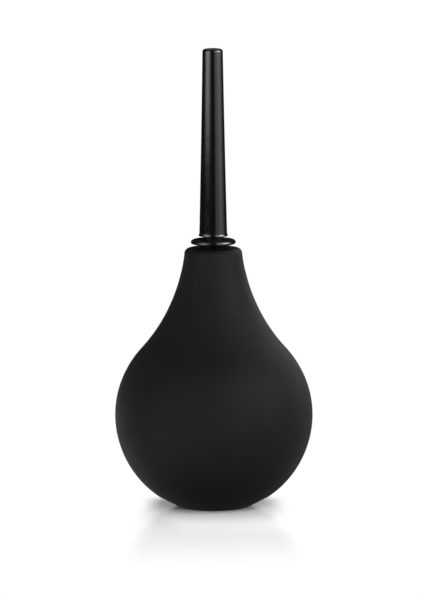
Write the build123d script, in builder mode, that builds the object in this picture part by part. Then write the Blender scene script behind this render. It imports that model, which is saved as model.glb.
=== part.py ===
"""Dust blower bulb: a squeezable pear-shaped bulb with a pull-off nozzle and two one-way valves.

Everything is turned about the Z axis. The origin is the centre of the flat that the bulb stands on,
and +Z runs up through the neck and the nozzle. Lengths are in millimetres.

Air path: filter ring, filter, intake seat, floating flap disc, bulb, outlet seat, check ball,
connector bore, nozzle.
"""

import math
import os

from build123d import *

# ---------------------------------------------------------------- bulb, outside
BALL_RADIUS = 40.0
BALL_CENTRE_Z = 37.4  # less than the radius, which leaves the flat that the bulb stands on
FLARE_RADIUS = 70.0  # hollow curve between the ball and the neck
FLARE_LATITUDE = 42.4  # degrees above the ball's equator where that curve starts
NECK_TOP_Z = 105.6
NECK_EDGE_FILLET = 2.9
BASE_EDGE_FILLET = 5.0

# ---------------------------------------------------------------- bulb, inside
WALL = 2.6
FLOOR_Z = 4.6  # inside face of the base, round the intake valve
ROOF_Z = 93.6  # underside of the thick lip that grips the connector
ROOF_FILLET = 3.0
FLOOR_FILLET = 3.0
RUBBER_CLEARANCE = 0.05  # between the rubber and the two hard parts it holds
MOUTH_FILLET = 0.6

# ---------------------------------------------------------------- connector in the neck
STEM_END_Z = 88.6
STEM_END_RADIUS = 3.9
STEM_RADIUS = 4.3
HOOK_RADIUS = 5.2  # retaining barb just under the lip
HOOK_TOP_Z = 93.3
HOOK_LENGTH = 3.2
BARB_RADIUS = 4.7
BARB_TOPS_Z = (97.4, 101.0)
BARB_LENGTH = 2.0
FOOT_RADIUS = 5.4  # ring that stops on top of the neck
FOOT_HEIGHT = 0.5
COLLAR_RADIUS = 4.5
DISC_RADIUS = 9.1
DISC_BOTTOM_Z = 107.4
DISC_LOWER_ROUND = 0.6
DISC_UPPER_ROUND = 1.1  # the two rounds meet at the rim, so together they are its thickness
SPIGOT_RADIUS = 3.7
SPIGOT_END_Z = 124.5
SPIGOT_CHAMFER = 0.4
AIR_BORE_RADIUS = 1.6

# ---------------------------------------------------------------- outlet check valve, inside the stem
CHAMBER_RADIUS = 2.6
CHAMBER_ROOF_Z = 97.5
CHECK_BALL_RADIUS = 2.0
CHECK_BALL_Z = 92.75  # centre, seated
CHECK_BALL_LIFT = 1.5
STOP_RIB_COUNT = 3
STOP_RIB_WIDTH = 0.8
STOP_RIB_INNER_RADIUS = 0.8
SEAT_FLANGE_RADIUS = 3.6
SEAT_FLANGE_THICKNESS = 0.8
SEAT_TOP_Z = 92.0
SEAT_BORE_RADIUS = 1.3
SEAT_CONE_RADIUS = 2.1

# ---------------------------------------------------------------- nozzle and its seal
GROOVE_Z = 117.2  # middle of the O-ring groove in the spigot
GROOVE_WIDTH = 1.5
GROOVE_RADIUS = 2.8
RING_SECTION_RADIUS = 0.46
RING_RADIUS = 3.29
NOZZLE_BOTTOM_Z = 110.6
NOZZLE_TOP_Z = 186.6
SKIRT_RADIUS = 5.95
SKIRT_HEIGHT = 1.2
SKIRT_EDGE_FILLET = 0.35
NOZZLE_BASE_RADIUS = 5.62
NOZZLE_TIP_RADIUS = 4.12
NOZZLE_SIDE_HOLLOW = 0.08  # how far the side curves in from a straight taper
NOZZLE_TIP_FILLET = 1.5
SOCKET_RADIUS = 3.78
SOCKET_ROOF_Z = 124.6
SOCKET_CHAMFER = 0.35
DUCT_RADIUS = 2.7
OUTLET_RADIUS = 1.5
OUTLET_LENGTH = 8.0
OUTLET_CHAMFER = 0.35

# ---------------------------------------------------------------- intake valve in the base
RECESS_RADIUS = 8.2
RECESS_DEPTH = 1.8
INTAKE_FLANGE_RADIUS = 7.9
INTAKE_FLANGE_Z = 0.5  # outer face, clear of the table
INTAKE_BARREL_RADIUS = 5.5
INTAKE_HOOK_RADIUS = 6.4
INTAKE_HOOK_LENGTH = 2.0
INTAKE_TOP_RADIUS = 5.0
INTAKE_TOP_Z = 8.6
POCKET_RADIUS = 4.2
FILTER_TOP_Z = 2.3
FILTER_THICKNESS = 0.4
FILTER_CLEARANCE = 0.05
PLENUM_RADIUS = 3.7
SEAT_PLATE_BOTTOM_Z = 2.6
SEAT_PLATE_TOP_Z = 3.8
SEAT_HOLE_RADIUS = 0.75
SEAT_HOLE_COUNT = 6
SEAT_HOLE_CIRCLE_RADIUS = 2.2
SEAT_RING_INNER_RADIUS = 3.2
SEAT_RING_OUTER_RADIUS = 3.7
SEAT_RING_HEIGHT = 0.3
CAGE_BORE_RADIUS = 4.3
CAGE_LIP_RADIUS = 4.1
FLAP_RADIUS = 3.9
FLAP_THICKNESS = 0.8
FLAP_CLEARANCE = 0.02
FLAP_LIFT = 1.0
CAGE_RING_BOTTOM_Z = 6.7
CAGE_TOP_Z = 7.6
CAGE_INNER_RADIUS = 3.3
CAGE_HUB_RADIUS = 1.6
CAGE_SPOKE_COUNT = 3
CAGE_SPOKE_WIDTH = 0.9
RING_INNER_RADIUS = 3.4
GRILLE_BAR_WIDTH = 0.7
GRILLE_BAR_THICKNESS = 0.6
GRILLE_RECESS = 0.4
SMALL_EDGE = 0.2

# ---------------------------------------------------------------- worked out from the sizes above
BALL_CENTRE = (0.0, BALL_CENTRE_Z)
LATITUDE = math.radians(FLARE_LATITUDE)
FLARE_CENTRE = (
    (BALL_RADIUS + FLARE_RADIUS) * math.cos(LATITUDE),
    BALL_CENTRE_Z + (BALL_RADIUS + FLARE_RADIUS) * math.sin(LATITUDE),
)
FLAP_BOTTOM_Z = SEAT_PLATE_TOP_Z + SEAT_RING_HEIGHT + FLAP_CLEARANCE
FLAP_STOP_Z = FLAP_BOTTOM_Z + FLAP_THICKNESS + FLAP_LIFT + FLAP_CLEARANCE
STOP_RIB_BOTTOM_Z = (
    CHECK_BALL_Z
    + CHECK_BALL_LIFT
    + math.sqrt(CHECK_BALL_RADIUS**2 - STOP_RIB_INNER_RADIUS**2)
    + FLAP_CLEARANCE
)
DISC_TOP_Z = DISC_BOTTOM_Z + DISC_LOWER_ROUND + DISC_UPPER_ROUND


def on_circle(centre, radius, angle):
    """The point of a circle at an angle in radians, in the half-section plane."""
    return (centre[0] + radius * math.cos(angle), centre[1] + radius * math.sin(angle))


def ball_point(radius, angle):
    return on_circle(BALL_CENTRE, radius, angle)


def flare_point(radius, angle):
    """A point of the hollow curve, whose centre lies outside the bulb; the angle is its latitude."""
    return on_circle(FLARE_CENTRE, radius, math.pi + angle)


def flare_angle_at(radius, z):
    """The latitude at which the hollow curve of that radius passes a height."""
    return math.asin((FLARE_CENTRE[1] - z) / radius)


def barbed_side(clearance):
    """The connector's barbed side as (radius, z) points, upwards from under the lip to the neck's top.

    The rubber lip is moulded to the same line, a clearance further out.
    """
    points = [(STEM_RADIUS + clearance, HOOK_TOP_Z + clearance)]
    for top in BARB_TOPS_Z:
        points += [
            (STEM_RADIUS + clearance, top - BARB_LENGTH),
            (BARB_RADIUS + clearance, top),
            (BARB_RADIUS + clearance, top + clearance),
            (STEM_RADIUS + clearance, top + clearance),
        ]
    return points


def without_repeats(points):
    """The points with any that equals the one before it left out."""
    return [p for i, p in enumerate(points) if i == 0 or math.dist(p, points[i - 1]) > 1e-6]


def ring_edges(part, radius, z):
    """The circular edges of a turned part with that radius at that height."""
    return part.edges().filter_by(GeomType.CIRCLE).filter_by(
        lambda e: abs(e.radius - radius) < 0.02 and abs(e.arc_center.Z - z) < 0.02
    )


# ================================================================ bulb
base_angle = -math.asin(BALL_CENTRE_Z / BALL_RADIUS)
neck_angle = flare_angle_at(FLARE_RADIUS, NECK_TOP_Z)
inner_ball = BALL_RADIUS - WALL
inner_flare = FLARE_RADIUS + WALL
roof_angle = flare_angle_at(inner_flare, ROOF_Z)
floor_angle = -math.asin((BALL_CENTRE_Z - FLOOR_Z) / inner_ball)
lip_side = [
    (r, min(max(z, ROOF_Z), NECK_TOP_Z)) for r, z in barbed_side(RUBBER_CLEARANCE)
]

with BuildPart() as bulb:
    with BuildSketch(Plane.XZ):
        with BuildLine():
            ThreePointArc(
                ball_point(BALL_RADIUS, base_angle),
                ball_point(BALL_RADIUS, (base_angle + LATITUDE) / 2),
                ball_point(BALL_RADIUS, LATITUDE),
            )
            ThreePointArc(
                flare_point(FLARE_RADIUS, LATITUDE),
                flare_point(FLARE_RADIUS, (LATITUDE + neck_angle) / 2),
                flare_point(FLARE_RADIUS, neck_angle),
            )
            Polyline(
                flare_point(FLARE_RADIUS, neck_angle),
                (STEM_RADIUS + RUBBER_CLEARANCE, NECK_TOP_Z),
                *reversed(lip_side),
                flare_point(inner_flare, roof_angle),
            )
            ThreePointArc(
                flare_point(inner_flare, roof_angle),
                flare_point(inner_flare, (LATITUDE + roof_angle) / 2),
                flare_point(inner_flare, LATITUDE),
            )
            ThreePointArc(
                ball_point(inner_ball, LATITUDE),
                ball_point(inner_ball, (LATITUDE + floor_angle) / 2),
                ball_point(inner_ball, floor_angle),
            )
            Polyline(
                ball_point(inner_ball, floor_angle),
                (INTAKE_BARREL_RADIUS + RUBBER_CLEARANCE, FLOOR_Z),
                (INTAKE_BARREL_RADIUS + RUBBER_CLEARANCE, RECESS_DEPTH),
                (RECESS_RADIUS, RECESS_DEPTH),
                (RECESS_RADIUS, 0),
                ball_point(BALL_RADIUS, base_angle),
            )
        make_face()
    revolve(axis=Axis.Z)
    fillet(ring_edges(bulb, flare_point(FLARE_RADIUS, neck_angle)[0], NECK_TOP_Z), NECK_EDGE_FILLET)
    fillet(ring_edges(bulb, ball_point(BALL_RADIUS, base_angle)[0], 0), BASE_EDGE_FILLET)
    fillet(ring_edges(bulb, flare_point(inner_flare, roof_angle)[0], ROOF_Z), ROOF_FILLET)
    fillet(ring_edges(bulb, ball_point(inner_ball, floor_angle)[0], FLOOR_Z), FLOOR_FILLET)
    fillet(ring_edges(bulb, STEM_RADIUS + RUBBER_CLEARANCE, NECK_TOP_Z), MOUTH_FILLET)
    fillet(ring_edges(bulb, RECESS_RADIUS, 0), MOUTH_FILLET)

# ================================================================ intake valve, in the base
flange_top = RECESS_DEPTH - RUBBER_CLEARANCE
hook_bottom = FLOOR_Z + RUBBER_CLEARANCE

with BuildPart() as intake_valve_body:
    with BuildSketch(Plane.XZ):
        with BuildLine():
            Polyline(
                (POCKET_RADIUS, INTAKE_FLANGE_Z),
                (INTAKE_FLANGE_RADIUS, INTAKE_FLANGE_Z),
                (INTAKE_FLANGE_RADIUS, flange_top),
                (INTAKE_BARREL_RADIUS, flange_top),
                (INTAKE_BARREL_RADIUS, hook_bottom),
                (INTAKE_HOOK_RADIUS, hook_bottom),
                (INTAKE_TOP_RADIUS, hook_bottom + INTAKE_HOOK_LENGTH),
                (INTAKE_TOP_RADIUS, INTAKE_TOP_Z),
                (CAGE_BORE_RADIUS, INTAKE_TOP_Z),
                (CAGE_LIP_RADIUS, INTAKE_TOP_Z - 2 * SMALL_EDGE),
                (CAGE_LIP_RADIUS, CAGE_TOP_Z),
                (CAGE_BORE_RADIUS, CAGE_TOP_Z),
                (CAGE_BORE_RADIUS, SEAT_PLATE_TOP_Z),
                (SEAT_RING_OUTER_RADIUS, SEAT_PLATE_TOP_Z),
                (SEAT_RING_OUTER_RADIUS, SEAT_PLATE_TOP_Z + SEAT_RING_HEIGHT),
                (SEAT_RING_INNER_RADIUS, SEAT_PLATE_TOP_Z + SEAT_RING_HEIGHT),
                (SEAT_RING_INNER_RADIUS, SEAT_PLATE_TOP_Z),
                (0, SEAT_PLATE_TOP_Z),
                (0, SEAT_PLATE_BOTTOM_Z),
                (PLENUM_RADIUS, SEAT_PLATE_BOTTOM_Z),
                (PLENUM_RADIUS, FILTER_TOP_Z),
                (POCKET_RADIUS, FILTER_TOP_Z),
                close=True,
            )
        make_face()
    revolve(axis=Axis.Z)
    with BuildSketch(Plane.XY.offset(SEAT_PLATE_BOTTOM_Z)):
        with PolarLocations(SEAT_HOLE_CIRCLE_RADIUS, SEAT_HOLE_COUNT):
            Circle(SEAT_HOLE_RADIUS)
    extrude(amount=SEAT_PLATE_TOP_Z - SEAT_PLATE_BOTTOM_Z, mode=Mode.SUBTRACT)
    fillet(ring_edges(intake_valve_body, INTAKE_FLANGE_RADIUS, INTAKE_FLANGE_Z), 2 * SMALL_EDGE)

filter_bottom = FILTER_TOP_Z - FILTER_THICKNESS

with BuildPart() as intake_filter:
    with BuildSketch(Plane.XY.offset(filter_bottom)):
        Circle(POCKET_RADIUS - FILTER_CLEARANCE)
    extrude(amount=FILTER_THICKNESS)

with BuildPart() as intake_filter_ring:
    with BuildSketch(Plane.XY.offset(INTAKE_FLANGE_Z)):
        Circle(POCKET_RADIUS)
        Circle(RING_INNER_RADIUS, mode=Mode.SUBTRACT)
    extrude(amount=filter_bottom - INTAKE_FLANGE_Z)
    chamfer(ring_edges(intake_filter_ring, RING_INNER_RADIUS, INTAKE_FLANGE_Z), SMALL_EDGE)
    with BuildSketch(Plane.XY.offset(INTAKE_FLANGE_Z + GRILLE_RECESS)):
        for turn in (0, 90):
            Rectangle(2 * RING_INNER_RADIUS + SMALL_EDGE, GRILLE_BAR_WIDTH, rotation=turn)
    extrude(amount=GRILLE_BAR_THICKNESS)

with BuildPart() as intake_flap_disc:
    with BuildSketch(Plane.XY.offset(FLAP_BOTTOM_Z)):
        Circle(FLAP_RADIUS)
    extrude(amount=FLAP_THICKNESS)
    fillet(intake_flap_disc.edges().filter_by(GeomType.CIRCLE), SMALL_EDGE)

with BuildPart() as intake_valve_cage:
    with BuildSketch(Plane.XY.offset(CAGE_RING_BOTTOM_Z)):
        Circle(CAGE_BORE_RADIUS)
        Circle(CAGE_INNER_RADIUS, mode=Mode.SUBTRACT)
        with PolarLocations(CAGE_INNER_RADIUS / 2, CAGE_SPOKE_COUNT):
            Rectangle(CAGE_INNER_RADIUS + SMALL_EDGE, CAGE_SPOKE_WIDTH)
    extrude(amount=CAGE_TOP_Z - CAGE_RING_BOTTOM_Z)
    with BuildSketch(Plane.XY.offset(FLAP_STOP_Z)):
        Circle(CAGE_HUB_RADIUS)
    extrude(amount=CAGE_TOP_Z - FLAP_STOP_Z)
    fillet(ring_edges(intake_valve_cage, CAGE_HUB_RADIUS, FLAP_STOP_Z), SMALL_EDGE)

# ================================================================ connector, in the neck
foot_top = NECK_TOP_Z + FOOT_HEIGHT
groove_low = GROOVE_Z - GROOVE_WIDTH / 2
groove_high = GROOVE_Z + GROOVE_WIDTH / 2
rim_z = DISC_BOTTOM_Z + DISC_LOWER_ROUND
lower_round = [
    on_circle((DISC_RADIUS - DISC_LOWER_ROUND, rim_z), DISC_LOWER_ROUND, math.radians(angle))
    for angle in (-90, -45, 0)
]
upper_round = [
    on_circle((DISC_RADIUS - DISC_UPPER_ROUND, rim_z), DISC_UPPER_ROUND, math.radians(angle))
    for angle in (0, 45, 90)
]
roof_cone = CHAMBER_RADIUS - AIR_BORE_RADIUS

with BuildPart() as neck_connector:
    with BuildSketch(Plane.XZ):
        with BuildLine():
            Polyline(
                (CHAMBER_RADIUS, STEM_END_Z),
                (STEM_END_RADIUS, STEM_END_Z),
                (STEM_RADIUS, HOOK_TOP_Z - HOOK_LENGTH),
                (HOOK_RADIUS, HOOK_TOP_Z),
                *without_repeats(barbed_side(0)),
                (STEM_RADIUS, NECK_TOP_Z),
                (FOOT_RADIUS, NECK_TOP_Z),
                (FOOT_RADIUS, foot_top),
                (COLLAR_RADIUS, foot_top),
                (COLLAR_RADIUS, DISC_BOTTOM_Z),
                lower_round[0],
            )
            ThreePointArc(*lower_round)
            ThreePointArc(*upper_round)
            Polyline(
                upper_round[2],
                (SPIGOT_RADIUS, DISC_TOP_Z),
                (SPIGOT_RADIUS, groove_low),
                (GROOVE_RADIUS, groove_low),
                (GROOVE_RADIUS, groove_high),
                (SPIGOT_RADIUS, groove_high),
                (SPIGOT_RADIUS, SPIGOT_END_Z - SPIGOT_CHAMFER),
                (SPIGOT_RADIUS - SPIGOT_CHAMFER, SPIGOT_END_Z),
                (AIR_BORE_RADIUS, SPIGOT_END_Z),
                (AIR_BORE_RADIUS, CHAMBER_ROOF_Z + roof_cone),
                (CHAMBER_RADIUS, CHAMBER_ROOF_Z),
                (CHAMBER_RADIUS, STEM_END_Z),
            )
        make_face()
    revolve(axis=Axis.Z)
    rib_reach = CHAMBER_RADIUS - STOP_RIB_INNER_RADIUS + SMALL_EDGE
    with BuildSketch(Plane.XY.offset(STOP_RIB_BOTTOM_Z)):
        with PolarLocations(STOP_RIB_INNER_RADIUS + rib_reach / 2, STOP_RIB_COUNT):
            Rectangle(rib_reach, STOP_RIB_WIDTH)
    extrude(amount=CHAMBER_ROOF_Z + roof_cone - STOP_RIB_BOTTOM_Z)
    fillet(ring_edges(neck_connector, SPIGOT_RADIUS, DISC_TOP_Z), SMALL_EDGE)
    fillet(ring_edges(neck_connector, FOOT_RADIUS, foot_top), SMALL_EDGE)

seat_cone_bottom = SEAT_TOP_Z - (SEAT_CONE_RADIUS - SEAT_BORE_RADIUS)

with BuildPart() as outlet_valve_seat:
    with BuildSketch(Plane.XZ):
        with BuildLine():
            Polyline(
                (SEAT_BORE_RADIUS, STEM_END_Z - SEAT_FLANGE_THICKNESS),
                (SEAT_FLANGE_RADIUS, STEM_END_Z - SEAT_FLANGE_THICKNESS),
                (SEAT_FLANGE_RADIUS, STEM_END_Z),
                (CHAMBER_RADIUS, STEM_END_Z),
                (CHAMBER_RADIUS, SEAT_TOP_Z),
                (SEAT_CONE_RADIUS, SEAT_TOP_Z),
                (SEAT_BORE_RADIUS, seat_cone_bottom),
                close=True,
            )
        make_face()
    revolve(axis=Axis.Z)
    fillet(
        ring_edges(outlet_valve_seat, SEAT_FLANGE_RADIUS, STEM_END_Z - SEAT_FLANGE_THICKNESS),
        SMALL_EDGE,
    )

with BuildPart() as outlet_check_ball:
    with Locations((0, 0, CHECK_BALL_Z)):
        Sphere(CHECK_BALL_RADIUS)

# ================================================================ nozzle and its O-ring
with BuildPart() as nozzle_o_ring:
    with Locations((0, 0, GROOVE_Z)):
        Torus(RING_RADIUS, RING_SECTION_RADIUS)

skirt_top = NOZZLE_BOTTOM_Z + SKIRT_HEIGHT
side_middle = (
    (NOZZLE_BASE_RADIUS + NOZZLE_TIP_RADIUS) / 2 - NOZZLE_SIDE_HOLLOW,
    (skirt_top + NOZZLE_TOP_Z) / 2,
)
side_slope = (NOZZLE_BASE_RADIUS - NOZZLE_TIP_RADIUS) / (NOZZLE_TOP_Z - skirt_top)

with BuildPart() as nozzle:
    with BuildSketch(Plane.XZ):
        with BuildLine():
            side = ThreePointArc(
                (NOZZLE_BASE_RADIUS, skirt_top), side_middle, (NOZZLE_TIP_RADIUS, NOZZLE_TOP_Z)
            )
            skirt = TangentArc(
                (NOZZLE_BASE_RADIUS, skirt_top),
                (SKIRT_RADIUS, NOZZLE_BOTTOM_Z + SKIRT_EDGE_FILLET),
                tangent=-(side % 0),
            )
            Polyline(
                skirt @ 1,
                (SKIRT_RADIUS, NOZZLE_BOTTOM_Z),
                (SOCKET_RADIUS + SOCKET_CHAMFER, NOZZLE_BOTTOM_Z),
                (SOCKET_RADIUS, NOZZLE_BOTTOM_Z + SOCKET_CHAMFER),
                (SOCKET_RADIUS, SOCKET_ROOF_Z),
                (DUCT_RADIUS, SOCKET_ROOF_Z),
                (OUTLET_RADIUS, NOZZLE_TOP_Z - OUTLET_LENGTH),
                (OUTLET_RADIUS, NOZZLE_TOP_Z),
                side @ 1,
            )
        make_face()
    revolve(axis=Axis.Z)
    fillet(ring_edges(nozzle, NOZZLE_TIP_RADIUS, NOZZLE_TOP_Z), NOZZLE_TIP_FILLET)
    fillet(ring_edges(nozzle, SKIRT_RADIUS, NOZZLE_BOTTOM_Z), SKIRT_EDGE_FILLET * 0.9)
    chamfer(ring_edges(nozzle, OUTLET_RADIUS, NOZZLE_TOP_Z), OUTLET_CHAMFER)

# ================================================================ files
pieces = {
    "bulb": bulb,
    "intake_valve_body": intake_valve_body,
    "intake_filter": intake_filter,
    "intake_filter_ring": intake_filter_ring,
    "intake_flap_disc": intake_flap_disc,
    "intake_valve_cage": intake_valve_cage,
    "neck_connector": neck_connector,
    "outlet_valve_seat": outlet_valve_seat,
    "outlet_check_ball": outlet_check_ball,
    "nozzle_o_ring": nozzle_o_ring,
    "nozzle": nozzle,
}
os.makedirs("parts", exist_ok=True)
for name, builder in pieces.items():
    builder.part.label = name
    export_step(builder.part, f"parts/{name}.step")
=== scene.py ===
"""Looks of the dust blower bulb: rubber skin, glossy mouldings, valve parts, and a white studio.

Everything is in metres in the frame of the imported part: Z up its axis, origin on the flat base.
"""

import math

import bmesh
import bpy
from mathutils import Matrix, Vector


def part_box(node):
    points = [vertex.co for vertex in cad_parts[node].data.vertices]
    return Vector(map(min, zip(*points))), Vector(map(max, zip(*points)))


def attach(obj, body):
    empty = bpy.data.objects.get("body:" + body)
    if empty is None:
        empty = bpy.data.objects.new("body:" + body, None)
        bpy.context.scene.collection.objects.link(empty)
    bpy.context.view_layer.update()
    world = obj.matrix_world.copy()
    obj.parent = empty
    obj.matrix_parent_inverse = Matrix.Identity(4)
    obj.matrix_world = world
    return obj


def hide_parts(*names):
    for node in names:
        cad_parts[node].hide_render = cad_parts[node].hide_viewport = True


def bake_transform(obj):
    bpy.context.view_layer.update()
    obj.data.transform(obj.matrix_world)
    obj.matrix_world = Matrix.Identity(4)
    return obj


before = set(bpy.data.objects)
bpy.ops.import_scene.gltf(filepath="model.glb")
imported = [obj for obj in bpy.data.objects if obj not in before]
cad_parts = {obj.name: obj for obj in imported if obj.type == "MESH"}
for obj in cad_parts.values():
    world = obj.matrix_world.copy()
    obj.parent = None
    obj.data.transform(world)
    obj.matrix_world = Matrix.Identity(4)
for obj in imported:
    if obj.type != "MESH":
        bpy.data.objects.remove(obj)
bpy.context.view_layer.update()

MM = 0.001

# ------------------------------------------------------------------ sizes, in metres
SEGMENTS = 224  # round the large turned pieces
SMALL_SEGMENTS = 128  # round the small ones

bulb_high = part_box("bulb")[1]
connector_low, connector_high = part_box("neck_connector")
nozzle_low, nozzle_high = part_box("nozzle")
filter_low, filter_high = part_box("intake_filter")

BALL_RADIUS = 40.0 * MM
BALL_CENTRE_Z = 37.4 * MM
FLARE_RADIUS = 70.0 * MM
FLARE_LATITUDE = math.radians(42.4)
NECK_TOP_Z = bulb_high.z
NECK_EDGE_FILLET = 2.9 * MM
BASE_EDGE_FILLET = 5.0 * MM
WALL = 2.6 * MM
CAVITY_FLOOR_Z = 4.6 * MM
CAVITY_ROOF_Z = 93.6 * MM
CAVITY_FILLET = 3.0 * MM
MOUTH_FILLET = 0.6 * MM
RUBBER_CLEARANCE = 0.05 * MM
RECESS_RADIUS = 8.2 * MM
RECESS_DEPTH = 1.8 * MM
INTAKE_BARREL_RADIUS = 5.5 * MM
SEAM_HEIGHT = 0.07 * MM  # the mould's parting line stands this proud of the rubber
SEAM_WIDTH = 0.5 * MM
SEAM_START_RADIUS = 13.0 * MM  # the line stops where the bulb is narrower than this

STEM_END_Z = connector_low.z
STEM_END_RADIUS = 3.9 * MM
STEM_RADIUS = 4.3 * MM
HOOK_RADIUS = 5.2 * MM
HOOK_TOP_Z = 93.3 * MM
HOOK_LENGTH = 3.2 * MM
BARB_RADIUS = 4.7 * MM
BARB_TOPS_Z = (97.4 * MM, 101.0 * MM)
BARB_LENGTH = 2.0 * MM
FOOT_RADIUS = 5.4 * MM
FOOT_HEIGHT = 0.5 * MM
COLLAR_RADIUS = 4.5 * MM
DISC_RADIUS = 9.1 * MM
DISC_BOTTOM_Z = 107.4 * MM
DISC_LOWER_ROUND = 0.6 * MM
DISC_UPPER_ROUND = 1.1 * MM
MATT_RADIUS = 7.2 * MM  # the disc is matt inside this and glossy outside the next
GLOSS_RADIUS = 8.2 * MM
SPIGOT_RADIUS = 3.7 * MM
GROOVE_Z = 117.2 * MM
GROOVE_WIDTH = 1.5 * MM
GROOVE_RADIUS = 2.8 * MM
CHAMBER_RADIUS = 2.6 * MM
CHAMBER_ROOF_Z = 97.5 * MM
AIR_BORE_RADIUS = 1.6 * MM
STOP_RIB_BOTTOM_Z = 96.1 * MM
STOP_RIB_INNER_RADIUS = 0.8 * MM
STOP_RIB_WIDTH = 0.8 * MM
STOP_RIB_COUNT = 3

SKIRT_RADIUS = 5.95 * MM
SKIRT_HEIGHT = 1.2 * MM
NOZZLE_BASE_RADIUS = 5.62 * MM
NOZZLE_TIP_RADIUS = 4.12 * MM
NOZZLE_SIDE_HOLLOW = 0.08 * MM
NOZZLE_TIP_FILLET = 1.5 * MM
SOCKET_RADIUS = 3.78 * MM
SOCKET_ROOF_Z = 124.6 * MM
DUCT_RADIUS = 2.7 * MM
OUTLET_RADIUS = 1.5 * MM
OUTLET_LENGTH = 8.0 * MM
SMALL_EDGE = 0.2 * MM
EDGE = 0.35 * MM

WIRE_RADIUS = 0.1 * MM
WIRE_PITCH = 0.62 * MM
WIRE_SIDES = 8
WIRE_STEPS = 6  # along each crossing

BALL_STEPS = 64  # points along each curve of the outlines
FLARE_STEPS = 36
INNER_BALL_STEPS = 40
INNER_FLARE_STEPS = 20
NOZZLE_STEPS = 24
SKIRT_STEPS = 8
FINE_TURN = 6  # degrees between the points of a fillet
MIDDLE_TURN = 7
COARSE_TURN = 10

# ------------------------------------------------------------------ outlines, as (radius, height)
FLARE_CENTRE = (
    (BALL_RADIUS + FLARE_RADIUS) * math.cos(FLARE_LATITUDE),
    BALL_CENTRE_Z + (BALL_RADIUS + FLARE_RADIUS) * math.sin(FLARE_LATITUDE),
)


def arc(centre, radius, start, end, steps):
    """Points of a circle in the half-section from one angle to another, in radians."""
    angles = [start + (end - start) * i / steps for i in range(steps + 1)]
    return [(centre[0] + radius * math.cos(a), centre[1] + radius * math.sin(a)) for a in angles]


def ball_arc(radius, start, end, steps):
    return arc((0.0, BALL_CENTRE_Z), radius, start, end, steps)


def flare_arc(radius, start, end, steps):
    """The hollow curve above the ball; its angles are latitudes, as on the ball."""
    return arc(FLARE_CENTRE, radius, math.pi + start, math.pi + end, steps)


def flare_angle_at(radius, z):
    return math.asin((FLARE_CENTRE[1] - z) / radius)


def rounded(corners, degrees_per_step=COARSE_TURN):
    """A closed outline from (radius, height, fillet) corners, with each corner turned by an arc."""
    outline = []
    for i, (r, z, fillet) in enumerate(corners):
        point = Vector((r, z))
        before = Vector(corners[i - 1][:2]) - point
        after = Vector(corners[(i + 1) % len(corners)][:2]) - point
        opening = before.angle(after)
        if fillet == 0 or opening > math.radians(178):
            outline.append((r, z))
            continue
        reach = min(fillet / math.tan(opening / 2), 0.49 * before.length, 0.49 * after.length)
        radius = reach * math.tan(opening / 2)
        bisector = before.normalized() + after.normalized()
        centre = point + bisector.normalized() * (radius / math.sin(opening / 2))
        start = point + before.normalized() * reach - centre
        end = point + after.normalized() * reach - centre
        first = math.atan2(start.y, start.x)
        turn = (math.atan2(end.y, end.x) - first + math.pi) % (2 * math.pi) - math.pi
        steps = max(2, math.ceil(abs(math.degrees(turn)) / degrees_per_step))
        outline += arc(centre, radius, first, first + turn, steps)
    return outline


def plain(points):
    """Points as corners with no fillet."""
    return [(r, z, 0) for r, z in points]


def new_object(name, mesh, material):
    piece = bpy.data.objects.new(name, mesh)
    piece.data.materials.append(material)
    bpy.context.scene.collection.objects.link(piece)
    return piece


def shade(mesh, sharp_degrees=35):
    mesh.shade_smooth()
    mesh.set_sharp_from_angle(angle=math.radians(sharp_degrees))


def lathe_faces(bm, outline, segments, bulge=None):
    """Adds a ring-shaped solid to bm: a closed outline turned about Z, pushed outward by bulge."""
    rings = []
    for k in range(segments):
        angle = 2 * math.pi * k / segments
        c, s = math.cos(angle), math.sin(angle)
        ring = []
        for r, z in outline:
            reach = r + (bulge(angle, r, z) if bulge else 0.0)
            ring.append(bm.verts.new((reach * c, reach * s, z)))
        rings.append(ring)
    for k in range(segments):
        here, there = rings[k], rings[(k + 1) % segments]
        for i in range(len(outline)):
            j = (i + 1) % len(outline)
            bm.faces.new((here[i], there[i], there[j], here[j]))


def finish_mesh(bm, name, sharp_degrees=35):
    bmesh.ops.recalc_face_normals(bm, faces=bm.faces)
    mesh = bpy.data.meshes.new(name)
    bm.to_mesh(mesh)
    bm.free()
    shade(mesh, sharp_degrees)
    return mesh


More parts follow.
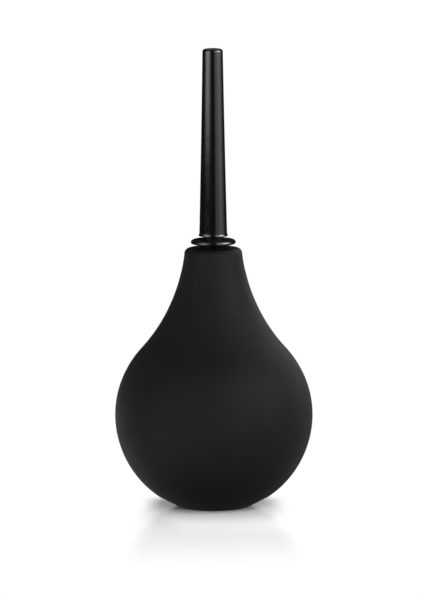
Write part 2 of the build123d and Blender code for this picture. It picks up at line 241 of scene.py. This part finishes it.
# ------------------------------------------------------------------ materials
class Surface:
    """A Principled material with a few helpers for wiring its texture nodes."""

    def __init__(self, name, **sockets):
        self.material = bpy.data.materials.new(name)
        self.material.use_nodes = True
        self.tree = self.material.node_tree
        self.shader = self.tree.nodes["Principled BSDF"]
        self.coordinates = self.tree.nodes.new("ShaderNodeTexCoord").outputs["Object"]
        for socket, value in sockets.items():
            self.shader.inputs[socket.replace("_", " ")].default_value = value

    def node(self, kind, **values):
        made = self.tree.nodes.new(kind)
        for key, value in values.items():
            if key in made.inputs:
                made.inputs[key].default_value = value
            else:
                setattr(made, key, value)
        return made

    def link(self, output, target):
        self.tree.links.new(output, target)

    def noise(self, feature, detail=3.0, roughness=0.55, distortion=0.0):
        """Noise with features about that size, in metres."""
        made = self.node("ShaderNodeTexNoise", Scale=1.0 / feature, Detail=detail)
        made.inputs["Roughness"].default_value = roughness
        made.inputs["Distortion"].default_value = distortion
        self.link(self.coordinates, made.inputs["Vector"])
        return made.outputs["Fac"]

    def ramp(self, factor, low, high, start=0.35, end=0.65):
        """factor spread between two values or colours."""
        if isinstance(low, tuple):
            made = self.node("ShaderNodeValToRGB")
            made.color_ramp.elements[0].position = start
            made.color_ramp.elements[1].position = end
            made.color_ramp.elements[0].color = (*low, 1)
            made.color_ramp.elements[1].color = (*high, 1)
            self.link(factor, made.inputs["Fac"])
            return made.outputs["Color"]
        made = self.node("ShaderNodeMapRange")
        made.inputs["From Min"].default_value = start
        made.inputs["From Max"].default_value = end
        made.inputs["To Min"].default_value = low
        made.inputs["To Max"].default_value = high
        self.link(factor, made.inputs["Value"])
        return made.outputs["Result"]

    def bump(self, *layers):
        """Stacks (height, depth in metres) layers into the normal."""
        normal = None
        for height, depth in layers:
            made = self.node("ShaderNodeBump", Strength=1.0, Distance=depth)
            self.link(height, made.inputs["Height"])
            if normal is not None:
                self.link(normal, made.inputs["Normal"])
            normal = made.outputs["Normal"]
        self.link(normal, self.shader.inputs["Normal"])

    def drive(self, socket, output):
        self.link(output, self.shader.inputs[socket])


def soft_rubber():
    surface = Surface("soft_touch_rubber", IOR=1.5, Specular_IOR_Level=0.3)
    clouds = surface.noise(22 * MM, detail=4, distortion=0.4)
    surface.drive("Base Color", surface.ramp(clouds, (0.0255,) * 3, (0.0305,) * 3))
    patches = surface.noise(7 * MM, detail=5)
    surface.drive("Roughness", surface.ramp(patches, 0.48, 0.54))
    surface.bump(
        (surface.noise(14 * MM, detail=2), 0.04 * MM),
        (surface.noise(0.5 * MM, detail=4), 0.012 * MM),
        (surface.noise(0.16 * MM, detail=2), 0.004 * MM),
    )
    return surface.material


def gloss_plastic():
    surface = Surface("gloss_black_plastic", IOR=1.5, Specular_IOR_Level=0.5)
    swirl = surface.noise(9 * MM, detail=5)
    surface.drive("Base Color", surface.ramp(swirl, (0.0022,) * 3, (0.0032,) * 3))
    smears = surface.noise(3 * MM, detail=6, distortion=0.6)
    surface.drive("Roughness", surface.ramp(smears, 0.09, 0.14))
    surface.bump((surface.noise(6 * MM, detail=2), 0.012 * MM))
    return surface.material


def connector_plastic():
    """The nozzle's gloss plastic, but matt inside the disc's rim, as it came from the mould."""
    surface = Surface("connector_plastic", IOR=1.5)
    swirl = surface.noise(9 * MM, detail=5)
    surface.drive("Base Color", surface.ramp(swirl, (0.0022,) * 3, (0.0032,) * 3))
    flat = surface.node("ShaderNodeVectorMath", operation="MULTIPLY")
    flat.inputs[1].default_value = (1, 1, 0)
    surface.link(surface.coordinates, flat.inputs[0])
    radius = surface.node("ShaderNodeVectorMath", operation="LENGTH")
    surface.link(flat.outputs["Vector"], radius.inputs[0])
    outward = radius.outputs["Value"]
    surface.drive("Roughness", surface.ramp(outward, 0.55, 0.12, MATT_RADIUS, GLOSS_RADIUS))
    surface.drive("Specular IOR Level", surface.ramp(outward, 0.12, 0.5, MATT_RADIUS, GLOSS_RADIUS))
    surface.bump((surface.noise(0.2 * MM, detail=2), 0.002 * MM))
    return surface.material


def valve_plastic():
    surface = Surface("valve_plastic", IOR=1.46, Specular_IOR_Level=0.45)
    tone = surface.noise(2.5 * MM, detail=4)
    surface.drive("Base Color", surface.ramp(tone, (0.030,) * 3, (0.040,) * 3))
    surface.drive("Roughness", surface.ramp(surface.noise(0.8 * MM, detail=4), 0.42, 0.55))
    surface.bump((surface.noise(0.12 * MM, detail=3), 0.006 * MM))
    return surface.material


def steel_wire():
    surface = Surface("filter_wire", Metallic=1.0)
    tone = surface.noise(0.7 * MM, detail=4)
    surface.drive("Base Color", surface.ramp(tone, (0.42, 0.41, 0.39), (0.62, 0.61, 0.58)))
    surface.drive("Roughness", surface.ramp(surface.noise(0.3 * MM, detail=3), 0.24, 0.4))
    return surface.material


def milky_silicone():
    surface = Surface("milky_silicone", IOR=1.41, Subsurface_Weight=0.25)
    surface.shader.inputs["Subsurface Radius"].default_value = (0.001, 0.001, 0.0009)
    tone = surface.noise(1.6 * MM, detail=3)
    surface.drive("Base Color", surface.ramp(tone, (0.62, 0.61, 0.57), (0.72, 0.71, 0.67)))
    surface.drive("Roughness", surface.ramp(surface.noise(0.6 * MM, detail=4), 0.38, 0.5))
    surface.bump((surface.noise(0.2 * MM, detail=2), 0.004 * MM))
    return surface.material


def seal_rubber():
    surface = Surface("seal_rubber", IOR=1.52, Specular_IOR_Level=0.5)
    tone = surface.noise(1.2 * MM, detail=4)
    surface.drive("Base Color", surface.ramp(tone, (0.009,) * 3, (0.014,) * 3))
    surface.drive("Roughness", surface.ramp(surface.noise(0.5 * MM, detail=4), 0.3, 0.42))
    surface.bump((surface.noise(0.1 * MM, detail=2), 0.002 * MM))
    return surface.material


def polished_steel():
    surface = Surface("polished_steel", Metallic=1.0)
    tone = surface.noise(1.5 * MM, detail=3)
    surface.drive("Base Color", surface.ramp(tone, (0.60, 0.60, 0.61), (0.68, 0.68, 0.69)))
    surface.drive("Roughness", surface.ramp(surface.noise(0.4 * MM, detail=6), 0.05, 0.12))
    return surface.material


# ------------------------------------------------------------------ pieces
def lip_line(clearance):
    """The barbed line shared by the connector and the rubber lip, upwards, as (radius, height)."""
    points = [(STEM_RADIUS + clearance, HOOK_TOP_Z + clearance)]
    for top in BARB_TOPS_Z:
        points += [
            (STEM_RADIUS + clearance, top - BARB_LENGTH),
            (BARB_RADIUS + clearance, top),
            (BARB_RADIUS + clearance, top + 2 * clearance),
            (STEM_RADIUS + clearance, top + 2 * clearance),
        ]
    return points


def bulb_outline():
    """The rubber's half-section; the points next to a fillet are left out to give it room."""
    base_angle = -math.asin(BALL_CENTRE_Z / BALL_RADIUS)
    neck_angle = flare_angle_at(FLARE_RADIUS, NECK_TOP_Z)
    inner_ball = BALL_RADIUS - WALL
    inner_flare = FLARE_RADIUS + WALL
    roof_angle = flare_angle_at(inner_flare, CAVITY_ROOF_Z)
    floor_angle = -math.asin((BALL_CENTRE_Z - CAVITY_FLOOR_Z) / inner_ball)
    ball = ball_arc(BALL_RADIUS, base_angle, FLARE_LATITUDE, BALL_STEPS)
    flare = flare_arc(FLARE_RADIUS, FLARE_LATITUDE, neck_angle, FLARE_STEPS)
    inner_flare_points = flare_arc(inner_flare, roof_angle, FLARE_LATITUDE, INNER_FLARE_STEPS)
    inner_ball_points = ball_arc(inner_ball, FLARE_LATITUDE, floor_angle, INNER_BALL_STEPS)
    lip = [(r, max(z, CAVITY_ROOF_Z)) for r, z in lip_line(RUBBER_CLEARANCE)]
    barrel = INTAKE_BARREL_RADIUS + RUBBER_CLEARANCE
    corners = [
        (*ball[0], BASE_EDGE_FILLET),
        *plain(ball[8:]),
        *plain(flare[1:-3]),
        (*flare[-1], NECK_EDGE_FILLET),
        (STEM_RADIUS + RUBBER_CLEARANCE, NECK_TOP_Z, MOUTH_FILLET),
        *plain(reversed(lip)),
        (*inner_flare_points[0], CAVITY_FILLET),
        *plain(inner_flare_points[3:]),
        *plain(inner_ball_points[1:-6]),
        (*inner_ball_points[-1], CAVITY_FILLET),
        (barrel, CAVITY_FLOOR_Z, SMALL_EDGE),
        (barrel, RECESS_DEPTH, 0),
        (RECESS_RADIUS, RECESS_DEPTH, SMALL_EDGE),
        (RECESS_RADIUS, 0, MOUTH_FILLET),
    ]
    return rounded(corners, FINE_TURN)


def parting_line(angle, r, z):
    """A hair-thin ridge up both sides of the bulb where its mould halves met."""
    outside = r > SEAM_START_RADIUS and math.hypot(r, z - BALL_CENTRE_Z) > BALL_RADIUS - 0.5 * WALL
    if not outside:
        return 0.0
    off = abs(math.sin(angle)) * r
    return SEAM_HEIGHT * max(0.0, 1 - off / SEAM_WIDTH) ** 2


def make_bulb():
    bm = bmesh.new()
    lathe_faces(bm, bulb_outline(), SEGMENTS, parting_line)
    piece = new_object("bulb_skin", finish_mesh(bm, "bulb_skin"), soft_rubber())
    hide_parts("bulb")
    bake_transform(piece)


def connector_outline():
    rim_z = DISC_BOTTOM_Z + DISC_LOWER_ROUND
    disc_top = rim_z + DISC_UPPER_ROUND
    foot_top = NECK_TOP_Z + FOOT_HEIGHT
    roof_cone = CHAMBER_RADIUS - AIR_BORE_RADIUS
    barbs = []
    for top in BARB_TOPS_Z:
        barbs += [
            (STEM_RADIUS, top - BARB_LENGTH, EDGE),
            (BARB_RADIUS, top, SMALL_EDGE / 2),
            (STEM_RADIUS, top, SMALL_EDGE / 2),
        ]
    rim = arc((DISC_RADIUS - DISC_LOWER_ROUND, rim_z), DISC_LOWER_ROUND, -math.pi / 2, 0, 9)
    rim += arc((DISC_RADIUS - DISC_UPPER_ROUND, rim_z), DISC_UPPER_ROUND, 0, math.pi / 2, 12)[1:]
    corners = [
        (CHAMBER_RADIUS, STEM_END_Z, SMALL_EDGE),
        (STEM_END_RADIUS, STEM_END_Z, SMALL_EDGE),
        (STEM_RADIUS, HOOK_TOP_Z - HOOK_LENGTH, EDGE),
        (HOOK_RADIUS, HOOK_TOP_Z, SMALL_EDGE),
        (STEM_RADIUS, HOOK_TOP_Z, SMALL_EDGE),
        *barbs,
        (STEM_RADIUS, NECK_TOP_Z, SMALL_EDGE),
        (FOOT_RADIUS, NECK_TOP_Z, SMALL_EDGE / 2),
        (FOOT_RADIUS, foot_top, SMALL_EDGE),
        (COLLAR_RADIUS, foot_top, SMALL_EDGE),
        (COLLAR_RADIUS, DISC_BOTTOM_Z, EDGE),
        *plain(rim),
        (SPIGOT_RADIUS, disc_top, SMALL_EDGE),
        (SPIGOT_RADIUS, GROOVE_Z - GROOVE_WIDTH / 2, SMALL_EDGE / 2),
        (GROOVE_RADIUS, GROOVE_Z - GROOVE_WIDTH / 2, SMALL_EDGE / 2),
        (GROOVE_RADIUS, GROOVE_Z + GROOVE_WIDTH / 2, SMALL_EDGE / 2),
        (SPIGOT_RADIUS, GROOVE_Z + GROOVE_WIDTH / 2, SMALL_EDGE / 2),
        (SPIGOT_RADIUS, connector_high.z, 2 * SMALL_EDGE),
        (AIR_BORE_RADIUS, connector_high.z, SMALL_EDGE),
        (AIR_BORE_RADIUS, CHAMBER_ROOF_Z + roof_cone, SMALL_EDGE),
        (CHAMBER_RADIUS, CHAMBER_ROOF_Z, SMALL_EDGE),
    ]
    return rounded(corners)


def add_block(bm, centre_radius, angle, length, width, low, high):
    """A radial block between two heights."""
    corners = []
    c, s = math.cos(angle), math.sin(angle)
    for z in (low, high):
        for u, v in ((-1, -1), (1, -1), (1, 1), (-1, 1)):
            r, t = centre_radius + u * length / 2, v * width / 2
            corners.append(bm.verts.new((r * c - t * s, r * s + t * c, z)))
    for face in ((0, 3, 2, 1), (4, 5, 6, 7), (0, 1, 5, 4), (1, 2, 6, 5), (2, 3, 7, 6), (3, 0, 4, 7)):
        bm.faces.new([corners[i] for i in face])


def make_connector():
    bm = bmesh.new()
    lathe_faces(bm, connector_outline(), SMALL_SEGMENTS)
    reach = CHAMBER_RADIUS + SMALL_EDGE - STOP_RIB_INNER_RADIUS
    for k in range(STOP_RIB_COUNT):
        add_block(
            bm,
            STOP_RIB_INNER_RADIUS + reach / 2,
            2 * math.pi * k / STOP_RIB_COUNT,
            reach,
            STOP_RIB_WIDTH,
            STOP_RIB_BOTTOM_Z,
            CHAMBER_ROOF_Z + CHAMBER_RADIUS - AIR_BORE_RADIUS,
        )
    piece = new_object("connector_moulding", finish_mesh(bm, "connector_moulding"), connector_plastic())
    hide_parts("neck_connector")
    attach(piece, "connector")


def nozzle_outline():
    bottom, top = nozzle_low.z, nozzle_high.z
    skirt_top = bottom + SKIRT_HEIGHT
    side = []
    for i in range(NOZZLE_STEPS + 1):
        share = i / NOZZLE_STEPS
        straight = NOZZLE_BASE_RADIUS + (NOZZLE_TIP_RADIUS - NOZZLE_BASE_RADIUS) * share
        hollow = NOZZLE_SIDE_HOLLOW * 4 * share * (1 - share)
        side.append((straight - hollow, skirt_top + (top - skirt_top) * share))
    flare = []
    for i in range(1, SKIRT_STEPS):
        share = i / SKIRT_STEPS
        radius = NOZZLE_BASE_RADIUS + (SKIRT_RADIUS - NOZZLE_BASE_RADIUS) * (1 - share) ** 2
        flare.append((radius, bottom + EDGE + (SKIRT_HEIGHT - EDGE) * share))
    corners = [
        (SOCKET_RADIUS + EDGE, bottom, SMALL_EDGE / 2),
        (SKIRT_RADIUS, bottom, EDGE),
        *plain(flare),
        *plain(side[:-1]),
        (*side[-1], NOZZLE_TIP_FILLET),
        (OUTLET_RADIUS + EDGE, top, SMALL_EDGE / 2),
        (OUTLET_RADIUS, top - EDGE, SMALL_EDGE / 2),
        (OUTLET_RADIUS, top - OUTLET_LENGTH, SMALL_EDGE),
        (DUCT_RADIUS, SOCKET_ROOF_Z, SMALL_EDGE),
        (SOCKET_RADIUS, SOCKET_ROOF_Z, SMALL_EDGE),
        (SOCKET_RADIUS, bottom + EDGE, SMALL_EDGE / 2),
    ]
    return rounded(corners, MIDDLE_TURN)


def make_nozzle():
    bm = bmesh.new()
    lathe_faces(bm, nozzle_outline(), SMALL_SEGMENTS)
    piece = new_object("nozzle_moulding", finish_mesh(bm, "nozzle_moulding"), gloss_plastic())
    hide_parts("nozzle")
    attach(piece, "nozzle_tube")


def add_wire(bm, points, radius, sides):
    """A closed round wire through points that lie in one upright plane."""
    along = (points[-1] - points[0]).normalized()
    across = Vector((-along.y, along.x, 0))
    up = Vector((0, 0, 1))
    rings = []
    for point in points:
        ring = []
        for k in range(sides):
            angle = 2 * math.pi * k / sides
            offset = across * math.cos(angle) + up * math.sin(angle)
            ring.append(bm.verts.new(point + offset * radius))
        rings.append(ring)
    for here, there in zip(rings, rings[1:]):
        for k in range(sides):
            n = (k + 1) % sides
            bm.faces.new((here[k], here[n], there[n], there[k]))
    bm.faces.new(rings[0][::-1])
    bm.faces.new(rings[-1])


def make_filter():
    """Plain-weave wire cloth, cut to the pocket's circle."""
    bm = bmesh.new()
    middle = (filter_low.z + filter_high.z) / 2
    edge = filter_high.x - WIRE_RADIUS
    count = int(edge / WIRE_PITCH)
    for way in (0, 1):
        for k in range(-count, count + 1):
            place = k * WIRE_PITCH
            reach = math.sqrt(edge**2 - place**2)
            steps = max(4, round(2 * reach / WIRE_PITCH * WIRE_STEPS))
            points = []
            for i in range(steps + 1):
                t = -reach + 2 * reach * i / steps
                side = 1 if (k + way) % 2 else -1
                lift = side * WIRE_RADIUS * math.cos(math.pi * t / WIRE_PITCH)
                x, y = (t, place) if way else (place, t)
                points.append(Vector((x, y, middle + lift)))
            add_wire(bm, points, WIRE_RADIUS, WIRE_SIDES)
    piece = new_object("wire_filter", finish_mesh(bm, "wire_filter", 60), steel_wire())
    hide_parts("intake_filter")
    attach(piece, "intake_valve")


def dress(node, material, sharp_degrees=30):
    """Gives a carried-over CAD node its material and smooth shading."""
    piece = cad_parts[node]
    piece.data.materials.clear()
    piece.data.materials.append(material)
    shade(piece.data, sharp_degrees)


make_bulb()
make_connector()
make_nozzle()
make_filter()
plastic = valve_plastic()
for node in ("intake_valve_body", "intake_filter_ring", "intake_valve_cage", "outlet_valve_seat"):
    dress(node, plastic)
dress("intake_flap_disc", milky_silicone())
dress("nozzle_o_ring", seal_rubber(), 60)
dress("outlet_check_ball", polished_steel(), 60)

# ------------------------------------------------------------------ studio
LIGHT_TOP = 1.1
LIGHT_FACETS = 24  # round each curved light
FLOOR_HALF_WIDTH = 0.5
FLOOR_ROUGHNESS = 0.14
FLOOR_SPREAD = 0.06  # how fast the visible patch of floor widens towards the front
FLOOR_SIDE_FADE = (0.0205, 0.0315)  # it melts into the white backing between these distances
FLOOR_BACK_FADE = (0.010, 0.028)
FLOOR_FRONT_FADE = (-0.07, -0.16)
FLOOR_PAINTED_SHADE = (-0.035, -0.075, 0.8, 0.64)  # painted shade in the floor's colour: its tone beside the object and in front of it, darker towards the front
FLOOR_PAINTED_SHADE_FROM = 0.012  # further left than this the painted shade comes closer
FLOOR_PAINTED_SHADE_SLANT = 3.0


def node_tree(owner):
    owner.use_nodes = True
    owner.node_tree.nodes.clear()
    return owner.node_tree.nodes, owner.node_tree.links


def level_ramp(nodes, links, source, stops):
    """A brightness from (place, level) stops along a 0 to 1 coordinate that spans the stops' places."""
    first, last = stops[0][0], stops[-1][0]
    made = nodes.new("ShaderNodeValToRGB")
    elements = made.color_ramp.elements
    while len(elements) < len(stops):
        elements.new(0.5)
    for element, (place, level) in zip(elements, stops):
        element.position = (place - first) / (last - first)
        element.color = (level, level, level, 1)
    links.new(source, made.inputs["Fac"])
    return made.outputs["Color"]


def see_through_emitter(nodes, links):
    """An emission shader that lets the light of the softboxes behind it pass."""
    shader = nodes.new("ShaderNodeEmission")
    clear = nodes.new("ShaderNodeBsdfTransparent")
    both = nodes.new("ShaderNodeAddShader")
    output = nodes.new("ShaderNodeOutputMaterial")
    links.new(shader.outputs[0], both.inputs[0])
    links.new(clear.outputs[0], both.inputs[1])
    links.new(both.outputs[0], output.inputs["Surface"])
    return shader


def wrap_light(name, receivers, distance, across, upward, strength):
    """A softbox curved round the object; across is (azimuth, level) stops, upward (height, level)."""
    bottom, top = upward[0][0], upward[-1][0]
    first, last = across[0][0], across[-1][0]
    points, faces, places = [], [], []
    for i in range(LIGHT_FACETS + 1):
        share = i / LIGHT_FACETS
        a = math.radians(first + (last - first) * share)
        for v, z in ((0, bottom), (1, top)):
            points.append((distance * math.sin(a), -distance * math.cos(a), z))
            places.append((share, v))
    for i in range(LIGHT_FACETS):
        k = 2 * i
        faces.append((k, k + 2, k + 3, k + 1))
    mesh = bpy.data.meshes.new(name)
    mesh.from_pydata(points, [], faces)
    layer = mesh.uv_layers.new(name="place")
    for loop in mesh.loops:
        layer.data[loop.index].uv = places[loop.vertex_index]
    material = bpy.data.materials.new(name)
    nodes, links = node_tree(material)
    shader = see_through_emitter(nodes, links)
    uv = nodes.new("ShaderNodeTexCoord").outputs["UV"]
    split = nodes.new("ShaderNodeSeparateXYZ")
    links.new(uv, split.inputs[0])
    both = nodes.new("ShaderNodeMix")
    both.data_type = "RGBA"
    both.blend_type = "MULTIPLY"
    both.inputs["Factor"].default_value = 1.0
    links.new(level_ramp(nodes, links, split.outputs["X"], across), both.inputs["A"])
    links.new(level_ramp(nodes, links, split.outputs["Y"], upward), both.inputs["B"])
    links.new(both.outputs["Result"], shader.inputs["Color"])
    shader.inputs["Strength"].default_value = strength
    stage_light(new_object(name, mesh, material), receivers)


def stage_light(light, receivers):
    """A light that the camera doesn't see and that falls on those objects and no others."""
    light.visible_camera = False
    light.visible_shadow = False
    group = bpy.data.collections.new(light.name + "_receivers")
    for receiver in receivers:
        group.objects.link(receiver)
    light.light_linking.receiver_collection = group


def panel(name, receivers, centre, facing, width, height, strength):
    """A flat light panel that faces a point."""
    material = bpy.data.materials.new(name)
    nodes, links = node_tree(material)
    shader = see_through_emitter(nodes, links)
    shader.inputs["Strength"].default_value = strength
    mesh = bpy.data.meshes.new(name)
    w, h = width / 2, height / 2
    mesh.from_pydata([(-w, -h, 0), (w, -h, 0), (w, h, 0), (-w, h, 0)], [], [(0, 1, 2, 3)])
    light = new_object(name, mesh, material)
    light.location = centre
    light.rotation_mode = "QUATERNION"
    light.rotation_quaternion = (Vector(facing) - Vector(centre)).to_track_quat("Z", "Y")
    stage_light(light, receivers)


def rise(nodes, links, source, start, end, low=0.0, high=1.0):
    """A value that goes smoothly from low to high as the source goes from start to end."""
    made = nodes.new("ShaderNodeMapRange")
    made.interpolation_type = "SMOOTHSTEP"
    made.inputs["From Min"].default_value = start
    made.inputs["From Max"].default_value = end
    made.inputs["To Min"].default_value = low
    made.inputs["To Max"].default_value = high
    links.new(source, made.inputs["Value"])
    return made.outputs["Result"]


def computed(nodes, links, operation, *sources):
    """The result of one operation on node outputs, plain numbers, or both."""
    made = nodes.new("ShaderNodeMath")
    made.operation = operation
    for socket, source in zip(made.inputs, sources):
        if isinstance(source, float):
            socket.default_value = source
        else:
            links.new(source, socket)
    return made.outputs[0]


def make_floor():
    """A white table that reflects softly, solid only from above, and fades into the backing; its colour
    carries painted shade in front of the object.
    """
    material = bpy.data.materials.new("white_floor")
    nodes, links = node_tree(material)
    output = nodes.new("ShaderNodeOutputMaterial")
    table = nodes.new("ShaderNodeBsdfPrincipled")
    table.inputs["Roughness"].default_value = FLOOR_ROUGHNESS
    clear = nodes.new("ShaderNodeBsdfTransparent")
    place = nodes.new("ShaderNodeSeparateXYZ")
    links.new(nodes.new("ShaderNodeTexCoord").outputs["Object"], place.inputs[0])
    distance = computed(nodes, links, "ABSOLUTE", place.outputs["X"])
    spread = computed(nodes, links, "MULTIPLY_ADD", place.outputs["Y"], FLOOR_SPREAD, distance)
    sides = rise(nodes, links, spread, *FLOOR_SIDE_FADE, 1.0, 0.0)
    back = rise(nodes, links, place.outputs["Y"], *FLOOR_BACK_FADE, 1.0, 0.0)
    front = rise(nodes, links, place.outputs["Y"], *FLOOR_FRONT_FADE, 1.0, 0.0)
    below = nodes.new("ShaderNodeNewGeometry").outputs["Backfacing"]
    solid = computed(nodes, links, "SUBTRACT", 1.0, below)
    for share in (sides, back, front):
        solid = computed(nodes, links, "MULTIPLY", solid, share)
    # Painted shade: the table's colour darkens towards the front, starting closer to the object on its
    # left, for the object's shadow and reflection on the floor.
    offset = computed(nodes, links, "ADD", place.outputs["X"], FLOOR_PAINTED_SHADE_FROM)
    leftward = computed(nodes, links, "MINIMUM", offset, 0.0)
    painted_shade_place = computed(nodes, links, "MULTIPLY_ADD", leftward, FLOOR_PAINTED_SHADE_SLANT, place.outputs["Y"])
    links.new(rise(nodes, links, painted_shade_place, *FLOOR_PAINTED_SHADE), table.inputs["Base Color"])
    mix = nodes.new("ShaderNodeMixShader")
    links.new(solid, mix.inputs["Fac"])
    links.new(clear.outputs[0], mix.inputs[1])
    links.new(table.outputs[0], mix.inputs[2])
    links.new(mix.outputs[0], output.inputs["Surface"])
    mesh = bpy.data.meshes.new("floor")
    w = FLOOR_HALF_WIDTH
    mesh.from_pydata([(-w, -w, 0), (w, -w, 0), (w, w, 0), (-w, w, 0)], [], [(0, 1, 2, 3)])
    floor = new_object("floor", mesh, material)
    floor.visible_glossy = False
    floor.visible_diffuse = False
    floor.visible_shadow = False
    return floor


def make_world():
    """White behind everything that the camera sees, and nearly black for every other ray."""
    world = bpy.data.worlds.new("studio")
    bpy.context.scene.world = world
    nodes, links = node_tree(world)
    output = nodes.new("ShaderNodeOutputWorld")
    path = nodes.new("ShaderNodeLightPath")
    dark = nodes.new("ShaderNodeBackground")
    dark.inputs["Color"].default_value = (0.03, 0.03, 0.03, 1)
    white = nodes.new("ShaderNodeBackground")
    white.inputs["Color"].default_value = (1, 1, 1, 1)
    mix = nodes.new("ShaderNodeMixShader")
    links.new(path.outputs["Is Camera Ray"], mix.inputs["Fac"])
    links.new(dark.outputs[0], mix.inputs[1])
    links.new(white.outputs[0], mix.inputs[2])
    links.new(mix.outputs[0], output.inputs["Surface"])


# Each curved light has the levels along its azimuth, in degrees, and up its height, in metres.
# Lights of the glossy mouldings and of the valve parts
GLOSS_RIGHT_ACROSS = [
    (14, 0), (24, 0.38), (33, 0.55), (47, 0.6), (61, 0.92), (71, 0.96), (86, 0.64), (101, 0.27),
    (116, 0),
]
GLOSS_RIGHT_UPWARD = [(-0.8, 0.2), (0.068, 0.2), (0.142, 0.36), (0.424, 0.9), (LIGHT_TOP, 0.8)]
GLOSS_LEFT_ACROSS = [
    (-8, 0), (-18, 0.05), (-28, 0.28), (-38, 0.66), (-48, 0.9), (-59, 1), (-70, 0.8), (-82, 0.34),
    (-95, 0.05), (-105, 0),
]
GLOSS_LEFT_UPWARD = [
    (-0.8, 0.42), (0, 0.42), (0.04, 0.1), (0.06, 0), (0.094, 0), (0.107, 0.12), (0.117, 0.46),
    (0.143, 0.74), (0.2, 1), (0.28, 1), (0.45, 0.6), (LIGHT_TOP, 0.35),
]
GLOSS_HIGH_ACROSS = [(48, 0), (66, 1), (92, 1), (108, 0)]
GLOSS_HIGH_UPWARD = [(0.2, 0), (0.34, 1), (0.6, 1), (0.75, 0)]
BOUNCE_ACROSS = [(116, 0), (135, 1), (225, 1), (244, 0)]
BOUNCE_UPWARD = [(-0.8, 1), (-0.16, 1), (-0.06, 0)]
# Lights of the rubber
RUBBER_RIGHT_ACROSS = [
    (14, 0), (24, 0.4), (33, 0.57), (45, 0.64), (58, 0.83), (71, 1), (83, 0.7), (108, 0),
]
RUBBER_RIGHT_UPWARD = [(-0.2, 0), (-0.1, 0.33), (0.15, 0.33), (0.25, 1), (0.5, 1), (0.6, 0)]
RUBBER_LEFT_ACROSS = [
    (-8, 0), (-28, 0.37), (-38, 0.7), (-50, 0.9), (-60, 0.92), (-82, 0.27), (-105, 0),
]
RUBBER_LEFT_UPWARD = [(-0.5, 0), (-0.25, 0.9), (0.05, 0.9), (0.16, 0)]
RIM_RIGHT_ACROSS = [(100, 0), (115, 1), (160, 1), (170, 0)]
RIM_RIGHT_UPWARD = [(-0.4, 0), (-0.3, 0.3), (0, 0.3), (0.2, 1), (LIGHT_TOP, 1)]
RIM_LEFT_ACROSS = [(-100, 0), (-115, 1), (-160, 1), (-170, 0)]
RIM_LEFT_UPWARD = [(-0.4, 0), (-0.3, 1), (0, 1), (0.1, 0)]
FRONT_ACROSS = [(-90, 0), (-70, 0.5), (0, 0.9), (70, 1), (90, 0)]
FRONT_UPWARD = [(-0.04, 0), (0.05, 1), (0.45, 1), (0.55, 0)]
AROUND_ACROSS = [
    (-180, 0.15), (-150, 0.45), (-120, 1), (10, 1), (60, 0.6), (120, 0.5), (150, 0.2), (180, 0.15),
]
AROUND_UPWARD = [(-0.9, 1), (-0.35, 1), (-0.1, 0.5), (LIGHT_TOP, 0.5)]
# The light of the floor
FLOOR_ACROSS = [(-50, 0), (-15, 0.8), (30, 1), (60, 0.6), (85, 0)]
FLOOR_UPWARD = [(0, 0.8), (0.13, 1), (0.6, 1), (0.8, 0)]

pieces = [piece for piece in bpy.context.scene.objects if piece.type == "MESH"]
rubber = [piece for piece in pieces if piece.name == "bulb_skin"]
others = [piece for piece in pieces if piece.name != "bulb_skin"]
tube = [piece for piece in pieces if piece.name == "nozzle_moulding"]
floor = make_floor()
make_world()
for name, receivers, distance, across, upward, strength in (
    ("gloss_right", others, 0.45, GLOSS_RIGHT_ACROSS, GLOSS_RIGHT_UPWARD, 6.6),
    ("gloss_left", others, 0.46, GLOSS_LEFT_ACROSS, GLOSS_LEFT_UPWARD, 5.4),
    ("table_bounce", others, 0.47, BOUNCE_ACROSS, BOUNCE_UPWARD, 1.5),
    ("gloss_high", others, 0.48, GLOSS_HIGH_ACROSS, GLOSS_HIGH_UPWARD, 9.0),
    ("rubber_right", rubber, 0.5, RUBBER_RIGHT_ACROSS, RUBBER_RIGHT_UPWARD, 0.94),
    ("rubber_left", rubber, 0.51, RUBBER_LEFT_ACROSS, RUBBER_LEFT_UPWARD, 0.5),
    ("rim_right", rubber, 0.52, RIM_RIGHT_ACROSS, RIM_RIGHT_UPWARD, 0.62),
    ("rim_left", rubber, 0.53, RIM_LEFT_ACROSS, RIM_LEFT_UPWARD, 0.32),
    ("rubber_front", rubber, 0.54, FRONT_ACROSS, FRONT_UPWARD, 0.34),
    ("rubber_around", rubber, 0.55, AROUND_ACROSS, AROUND_UPWARD, 0.135),
    ("floor_light", [floor], 0.6, FLOOR_ACROSS, FLOOR_UPWARD, 7.4),
):
    wrap_light(name, receivers, distance, across, upward, strength)
for name, receivers, centre, facing, width, height, strength in (
    ("tip_back", tube, (0, 1.2, 0.375), (0, 0, 0.375), 0.5, 0.13, 0.4),
    ("floor_overhead", [floor], (0, 0, 1.5), (0, 0, 0), 1.6, 1.6, 3.2),
    ("backdrop", [floor], (0, 1.2, 0.6), (0, 0, 0.6), 3.0, 1.2, 0.5),
):
    panel(name, receivers, centre, facing, width, height, strength)

# ------------------------------------------------------------------ camera and colour view
CAMERA_DISTANCE = 3.0
CAMERA_HEIGHT = 0.507
AIM_HEIGHT = 0.08436
CAMERA_X = -0.0008
CAMERA_ROLL = math.radians(-0.2)
CAMERA_LENS = 448.9  # millimetres, on a 36 mm sensor
camera_data = bpy.data.cameras.new("camera")
camera_data.lens = CAMERA_LENS
camera_data.sensor_width = 36.0
camera = bpy.data.objects.new("camera", camera_data)
bpy.context.scene.collection.objects.link(camera)
camera.location = (CAMERA_X, -CAMERA_DISTANCE, CAMERA_HEIGHT)
drop = math.atan2(CAMERA_HEIGHT - AIM_HEIGHT, CAMERA_DISTANCE)
tilt = Matrix.Rotation(math.pi / 2 - drop, 3, "X")
camera.rotation_euler = (tilt @ Matrix.Rotation(CAMERA_ROLL, 3, "Z")).to_euler()
camera_data.clip_end = 20.0
bpy.context.scene.camera = camera
bpy.context.scene.view_settings.view_transform = "Standard"
